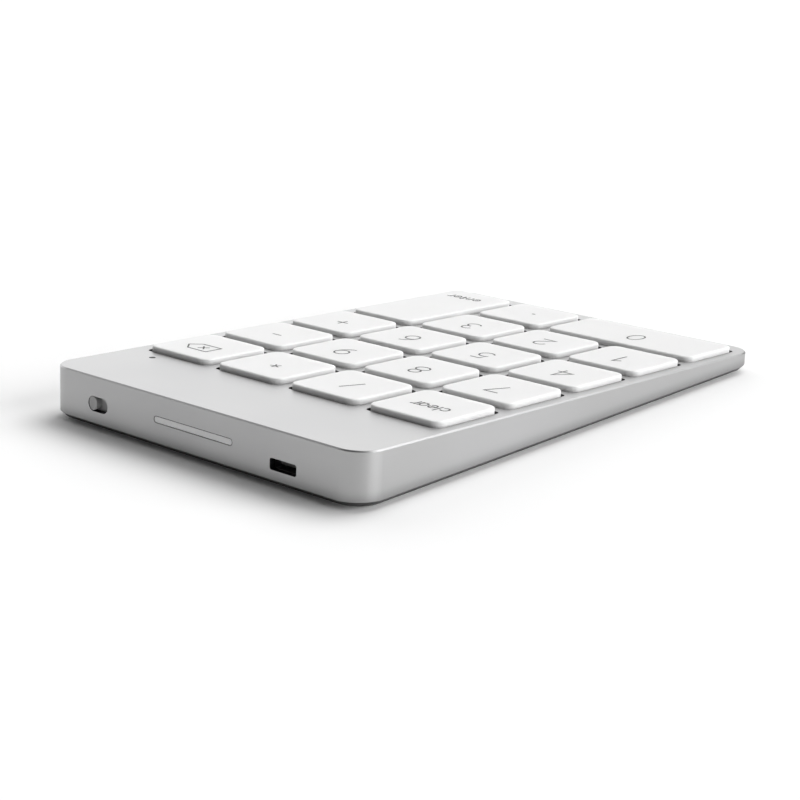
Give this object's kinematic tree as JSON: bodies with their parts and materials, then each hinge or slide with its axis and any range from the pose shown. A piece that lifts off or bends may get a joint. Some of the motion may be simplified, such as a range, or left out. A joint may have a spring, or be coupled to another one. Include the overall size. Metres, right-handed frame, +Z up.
{
  "type": "numeric keypad",
  "caption": "Slim wireless numeric keypad with a wedge-shaped aluminium case, white scissor keys, a rear slide switch, an antenna window and a charging port.",
  "frame": {"origin": "on the table under the middle of the case, at the underside of the feet", "axes": "+Y from the user's front edge to the rear edge with the port, +X to the user's right, +Z up"},
  "size_m": [0.079, 0.118, 0.0102],
  "materials": {
    "case_aluminium": "satin anodised",
    "keycap_white": "satin",
    "cover_grey": "matte",
    "foot_rubber": "matte",
    "screw_steel": "satin",
    "plate_steel": "satin",
    "membrane_film": "satin",
    "dome_silicone": "matte",
    "ribbon_film": "satin",
    "board_green": "satin",
    "shield_can": "satin",
    "antenna_plastic": "matte",
    "port_steel": "satin",
    "black_plastic": "matte",
    "knob_white": "satin",
    "led_body": "satin",
    "guide_clear": "satin",
    "battery_foil": "satin",
    "tape_grey": "matte",
    "lead_red": "satin",
    "scissor_plastic": "matte",
    "wire_steel": "polished"
  },
  "bodies": {
    "case": {"top_case": "case_aluminium", "bottom_cover": "cover_grey", "rubber_feet": "foot_rubber", "cover_screws": "screw_steel", "key_plate": "plate_steel", "plate_screws": "screw_steel", "membrane_sheet": "membrane_film", "rubber_domes": "dome_silicone", "membrane_ribbon": "ribbon_film", "circuit_board": "board_green", "board_screws": "screw_steel", "wireless_module": "shield_can", "antenna_window": "antenna_plastic", "charge_port_shell": "port_steel", "charge_port_tongue": "black_plastic", "power_switch_body": "black_plastic", "status_led": "led_body", "status_light_guide": "guide_clear", "battery": "battery_foil", "battery_tape": "tape_grey", "battery_leads": "lead_red", "scissor_clear": "scissor_plastic", "scissor_divide": "scissor_plastic", "scissor_multiply": "scissor_plastic", "scissor_delete": "scissor_plastic", "scissor_7": "scissor_plastic", "scissor_8": "scissor_plastic", "scissor_9": "scissor_plastic", "scissor_minus": "scissor_plastic", "scissor_4": "scissor_plastic", "scissor_5": "scissor_plastic", "scissor_6": "scissor_plastic", "scissor_plus": "scissor_plastic", "scissor_1": "scissor_plastic", "scissor_2": "scissor_plastic", "scissor_3": "scissor_plastic", "scissor_enter": "scissor_plastic", "scissor_0": "scissor_plastic", "scissor_decimal": "scissor_plastic"},
    "key_clear_body": {"key_clear": "keycap_white"},
    "key_divide_body": {"key_divide": "keycap_white"},
    "key_multiply_body": {"key_multiply": "keycap_white"},
    "key_delete_body": {"key_delete": "keycap_white"},
    "key_7_body": {"key_7": "keycap_white"},
    "key_8_body": {"key_8": "keycap_white"},
    "key_9_body": {"key_9": "keycap_white"},
    "key_minus_body": {"key_minus": "keycap_white"},
    "key_4_body": {"key_4": "keycap_white"},
    "key_5_body": {"key_5": "keycap_white"},
    "key_6_body": {"key_6": "keycap_white"},
    "key_plus_body": {"key_plus": "keycap_white"},
    "key_1_body": {"key_1": "keycap_white"},
    "key_2_body": {"key_2": "keycap_white"},
    "key_3_body": {"key_3": "keycap_white"},
    "key_enter_body": {"key_enter": "keycap_white"},
    "key_0_body": {"key_0": "keycap_white"},
    "key_decimal_body": {"key_decimal": "keycap_white"},
    "power_switch_slider": {"power_switch_knob": "knob_white"},
    "zero_bar": {"zero_stabiliser_bar": "wire_steel"},
    "enter_bar": {"enter_stabiliser_bar": "wire_steel"}
  },
  "joints": [
    {"name": "press_clear", "type": "slide", "parent": "case", "child": "key_clear_body", "axis": [0, -0.0525, 0.9986], "range_m": [-0.001, 0], "stiffness_N_per_m": 250, "springref_m": 0.001, "deforming": ["scissor_clear", "rubber_domes"]},
    {"name": "press_divide", "type": "slide", "parent": "case", "child": "key_divide_body", "axis": [0, -0.0525, 0.9986], "range_m": [-0.001, 0], "stiffness_N_per_m": 250, "springref_m": 0.001, "deforming": ["scissor_divide", "rubber_domes"]},
    {"name": "press_multiply", "type": "slide", "parent": "case", "child": "key_multiply_body", "axis": [0, -0.0525, 0.9986], "range_m": [-0.001, 0], "stiffness_N_per_m": 250, "springref_m": 0.001, "deforming": ["scissor_multiply", "rubber_domes"]},
    {"name": "press_delete", "type": "slide", "parent": "case", "child": "key_delete_body", "axis": [0, -0.0525, 0.9986], "range_m": [-0.001, 0], "stiffness_N_per_m": 250, "springref_m": 0.001, "deforming": ["scissor_delete", "rubber_domes"]},
    {"name": "press_7", "type": "slide", "parent": "case", "child": "key_7_body", "axis": [0, -0.0525, 0.9986], "range_m": [-0.001, 0], "stiffness_N_per_m": 250, "springref_m": 0.001, "deforming": ["scissor_7", "rubber_domes"]},
    {"name": "press_8", "type": "slide", "parent": "case", "child": "key_8_body", "axis": [0, -0.0525, 0.9986], "range_m": [-0.001, 0], "stiffness_N_per_m": 250, "springref_m": 0.001, "deforming": ["scissor_8", "rubber_domes"]},
    {"name": "press_9", "type": "slide", "parent": "case", "child": "key_9_body", "axis": [0, -0.0525, 0.9986], "range_m": [-0.001, 0], "stiffness_N_per_m": 250, "springref_m": 0.001, "deforming": ["scissor_9", "rubber_domes"]},
    {"name": "press_minus", "type": "slide", "parent": "case", "child": "key_minus_body", "axis": [0, -0.0525, 0.9986], "range_m": [-0.001, 0], "stiffness_N_per_m": 250, "springref_m": 0.001, "deforming": ["scissor_minus", "rubber_domes"]},
    {"name": "press_4", "type": "slide", "parent": "case", "child": "key_4_body", "axis": [0, -0.0525, 0.9986], "range_m": [-0.001, 0], "stiffness_N_per_m": 250, "springref_m": 0.001, "deforming": ["scissor_4", "rubber_domes"]},
    {"name": "press_5", "type": "slide", "parent": "case", "child": "key_5_body", "axis": [0, -0.0525, 0.9986], "range_m": [-0.001, 0], "stiffness_N_per_m": 250, "springref_m": 0.001, "deforming": ["scissor_5", "rubber_domes"]},
    {"name": "press_6", "type": "slide", "parent": "case", "child": "key_6_body", "axis": [0, -0.0525, 0.9986], "range_m": [-0.001, 0], "stiffness_N_per_m": 250, "springref_m": 0.001, "deforming": ["scissor_6", "rubber_domes"]},
    {"name": "press_plus", "type": "slide", "parent": "case", "child": "key_plus_body", "axis": [0, -0.0525, 0.9986], "range_m": [-0.001, 0], "stiffness_N_per_m": 250, "springref_m": 0.001, "deforming": ["scissor_plus", "rubber_domes"]},
    {"name": "press_1", "type": "slide", "parent": "case", "child": "key_1_body", "axis": [0, -0.0525, 0.9986], "range_m": [-0.001, 0], "stiffness_N_per_m": 250, "springref_m": 0.001, "deforming": ["scissor_1", "rubber_domes"]},
    {"name": "press_2", "type": "slide", "parent": "case", "child": "key_2_body", "axis": [0, -0.0525, 0.9986], "range_m": [-0.001, 0], "stiffness_N_per_m": 250, "springref_m": 0.001, "deforming": ["scissor_2", "rubber_domes"]},
    {"name": "press_3", "type": "slide", "parent": "case", "child": "key_3_body", "axis": [0, -0.0525, 0.9986], "range_m": [-0.001, 0], "stiffness_N_per_m": 250, "springref_m": 0.001, "deforming": ["scissor_3", "rubber_domes"]},
    {"name": "press_enter", "type": "slide", "parent": "case", "child": "key_enter_body", "axis": [0, -0.0525, 0.9986], "range_m": [-0.001, 0], "stiffness_N_per_m": 300, "springref_m": 0.001, "deforming": ["scissor_enter", "rubber_domes"]},
    {"name": "press_0", "type": "slide", "parent": "case", "child": "key_0_body", "axis": [0, -0.0525, 0.9986], "range_m": [-0.001, 0], "stiffness_N_per_m": 300, "springref_m": 0.001, "deforming": ["scissor_0", "rubber_domes"]},
    {"name": "press_decimal", "type": "slide", "parent": "case", "child": "key_decimal_body", "axis": [0, -0.0525, 0.9986], "range_m": [-0.001, 0], "stiffness_N_per_m": 250, "springref_m": 0.001, "deforming": ["scissor_decimal", "rubber_domes"]},
    {"name": "slide_power_switch", "type": "slide", "parent": "case", "child": "power_switch_slider", "axis": [1, 0, 0], "range_m": [-0.003, 0]},
    {"name": "tilt_zero_bar", "type": "hinge", "parent": "case", "child": "zero_bar", "pos_m": [-0.0194, -0.0464, 0.00347], "axis": [1, 0, 0], "range_deg": [-10.02, 0.5]},
    {"name": "tilt_enter_bar", "type": "hinge", "parent": "case", "child": "enter_bar", "pos_m": [0.02812, -0.03693, 0.00397], "axis": [0, -0.9986, -0.0525], "range_deg": [-10.02, 0.5]}
  ],
  "couplings": [
    {"joint": "tilt_zero_bar", "follows": "press_0", "rad_per_m": 167.95},
    {"joint": "tilt_enter_bar", "follows": "press_enter", "rad_per_m": 167.95}
  ]
}
